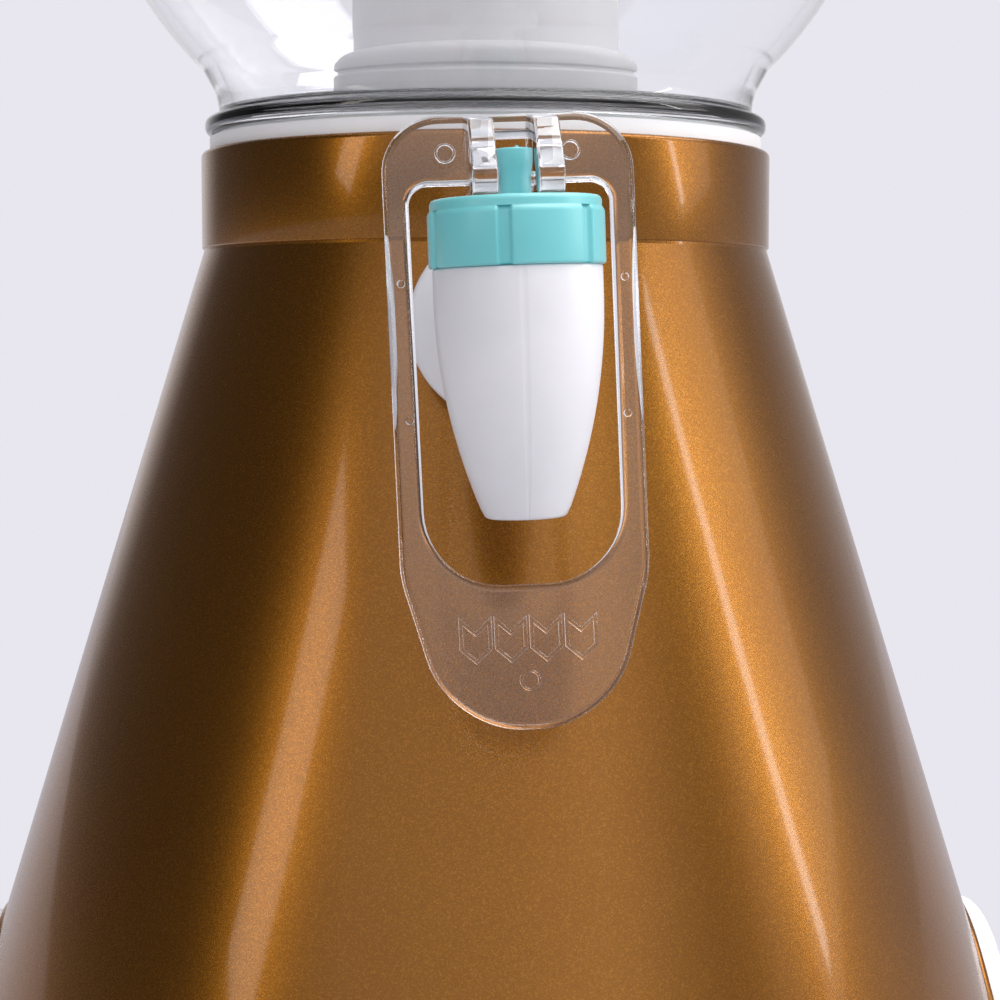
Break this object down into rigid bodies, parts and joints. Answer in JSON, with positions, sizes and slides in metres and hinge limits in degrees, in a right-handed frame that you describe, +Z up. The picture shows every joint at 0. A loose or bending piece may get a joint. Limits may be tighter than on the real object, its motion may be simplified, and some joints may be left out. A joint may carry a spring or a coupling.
{
  "type": "beverage dispenser",
  "caption": "Countertop drinks dispenser: bronze cone base, clear globe with ice core and lid, white tap with teal bonnet and clear push lever, white side caps.",
  "frame": {"origin": "on the table, under the middle of the base", "axes": "+Z up, the tap points along -Y, +X to the right of someone facing the tap"},
  "size_m": [0.269, 0.269, 0.4521],
  "materials": {
    "bronze_shell": "bronze metallic paint",
    "dark_plastic": "fine texture",
    "black_rubber": "matt",
    "steel": "bright",
    "white_plastic": "satin gloss",
    "frosted_plastic": "translucent",
    "silicone": "soft, translucent",
    "clear_plastic": "clear, polished",
    "milky_plastic": "satin",
    "white_rubber": "satin",
    "teal_plastic": "satin gloss",
    "clear_lever": "clear, polished"
  },
  "bodies": {
    "base": {"base_shell": "bronze_shell", "base_plate": "dark_plastic", "foot_pad": "black_rubber", "base_screws": "steel", "left_port_collar": "bronze_shell", "right_port_collar": "bronze_shell", "left_side_cap": "white_plastic", "right_side_cap": "white_plastic", "sump": "frosted_plastic", "sump_seal": "silicone", "globe": "clear_plastic", "tap_body": "white_plastic", "bevel_gasket": "white_rubber", "saddle_spacer": "white_plastic", "shank_washer": "silicone", "lock_nut": "white_plastic", "bonnet_cap": "teal_plastic", "bonnet_seal": "silicone", "return_spring": "steel"},
    "stem": {"valve_stem": "teal_plastic", "seat_cup": "silicone"},
    "lever": {"push_lever": "clear_lever"},
    "lid": {"lid": "bronze_shell", "lid_seal": "silicone", "lid_knob": "bronze_shell", "knob_screw": "steel", "core_tube": "milky_plastic", "core_seal": "silicone", "core_base": "milky_plastic"}
  },
  "joints": [
    {"name": "lid_lift", "type": "slide", "parent": "base", "child": "lid", "axis": [0, 0, 1], "range_m": [0, 0.22]},
    {"name": "stem_lift", "type": "slide", "parent": "base", "child": "stem", "axis": [-0.0349, 0, 0.9994], "range_m": [0, 0.002], "stiffness_N_per_m": 10, "springref_m": 0.012, "deforming": ["return_spring"]},
    {"name": "lever_push", "type": "hinge", "parent": "stem", "child": "lever", "pos_m": [-0.00084, -0.11445, 0.24599], "axis": [0.9994, 0, 0.0349], "range_deg": [0, 12], "stiffness_Nm_per_rad": 0.35, "springref_deg": -20.05}
  ],
  "couplings": [
    {"joint": "stem_lift", "follows": "lever_push", "m_per_rad": 0.0088}
  ]
}
